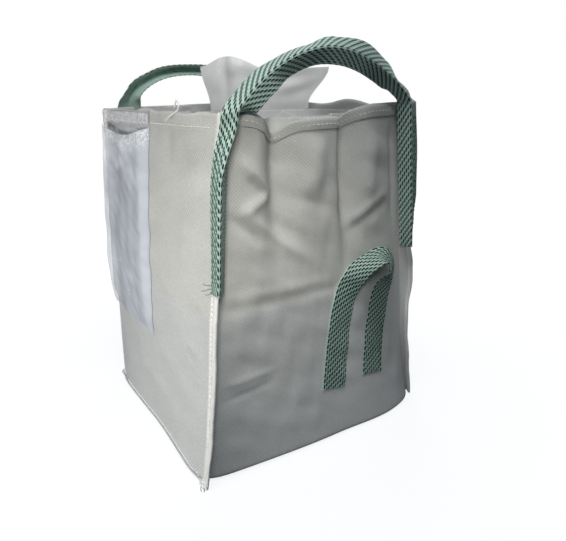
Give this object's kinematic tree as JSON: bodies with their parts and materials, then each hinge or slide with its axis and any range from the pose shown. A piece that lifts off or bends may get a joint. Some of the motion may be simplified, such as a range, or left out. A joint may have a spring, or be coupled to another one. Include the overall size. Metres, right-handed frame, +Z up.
{
  "type": "bulk bag",
  "caption": "Open-top woven bulk bag with standing corner seams, webbing lift loops, a tipping loop on the front, a clear document pouch and a film liner.",
  "frame": {"origin": "middle of the base on the floor", "axes": "+Z up, front wall with the tipping loop towards -Y, document pouch on the -X side"},
  "size_m": [0.5088, 0.546, 0.7135],
  "materials": {
    "cloth": "woven, matt",
    "webbing": "woven, matt",
    "film": "clear film",
    "thread": "spun thread"
  },
  "bodies": {
    "bag": {"u_panel": "cloth", "left_side_panel": "cloth", "right_side_panel": "cloth", "front_loop_left_bend": "webbing", "front_loop_right_bend": "webbing", "front_strap_left_leg": "webbing", "front_strap_right_leg": "webbing", "back_loop_left_bend": "webbing", "back_loop_right_bend": "webbing", "back_strap_left_leg": "webbing", "back_strap_right_leg": "webbing", "tipping_left_bend": "webbing", "tipping_right_bend": "webbing", "tipping_left_end": "webbing", "tipping_right_end": "webbing", "pouch_header": "film", "liner": "film", "front_left_seam_thread": "thread", "front_right_seam_thread": "thread", "back_left_seam_thread": "thread", "back_right_seam_thread": "thread", "left_base_seam_thread": "thread", "right_base_seam_thread": "thread", "front_hem_thread": "thread", "back_hem_thread": "thread", "left_hem_thread": "thread", "right_hem_thread": "thread", "front_left_strap_thread": "thread", "front_right_strap_thread": "thread", "back_left_strap_thread": "thread", "back_right_strap_thread": "thread", "tipping_left_thread": "thread", "tipping_right_thread": "thread", "pouch_thread": "thread"},
    "front_lift_loop": {"front_loop": "webbing"},
    "back_lift_loop": {"back_loop": "webbing"},
    "front_tipping_loop": {"tipping_loop": "webbing"},
    "document_pouch": {"pouch_back_film": "film", "pouch_front_film": "film"},
    "standing_flap": {"liner_flap": "film"}
  },
  "joints": [
    {"name": "front_loop_swing", "type": "hinge", "parent": "bag", "child": "front_lift_loop", "pos_m": [0, -0.2553, 0.604], "axis": [1, 0, 0], "range_deg": [-48, 160], "deforming": ["front_loop_left_bend", "front_loop_right_bend"]},
    {"name": "back_loop_swing", "type": "hinge", "parent": "bag", "child": "back_lift_loop", "pos_m": [0, 0.2416, 0.604], "axis": [-1, 0, 0], "range_deg": [-24, 160], "deforming": ["back_loop_left_bend", "back_loop_right_bend"]},
    {"name": "tipping_loop_swing", "type": "hinge", "parent": "bag", "child": "front_tipping_loop", "pos_m": [0.08, -0.2461, 0.206], "axis": [1, 0, 0], "range_deg": [0, 140], "deforming": ["tipping_left_bend", "tipping_right_bend"]},
    {"name": "pouch_lift", "type": "hinge", "parent": "bag", "child": "document_pouch", "pos_m": [-0.1869, 0.1133, 0.5765], "axis": [0, 1, 0], "range_deg": [0, 120]},
    {"name": "flap_fold", "type": "hinge", "parent": "bag", "child": "standing_flap", "pos_m": [0.0702, 0.0918, 0.5886], "axis": [0.6692, -0.7431, 0], "range_deg": [0, 70]}
  ]
}
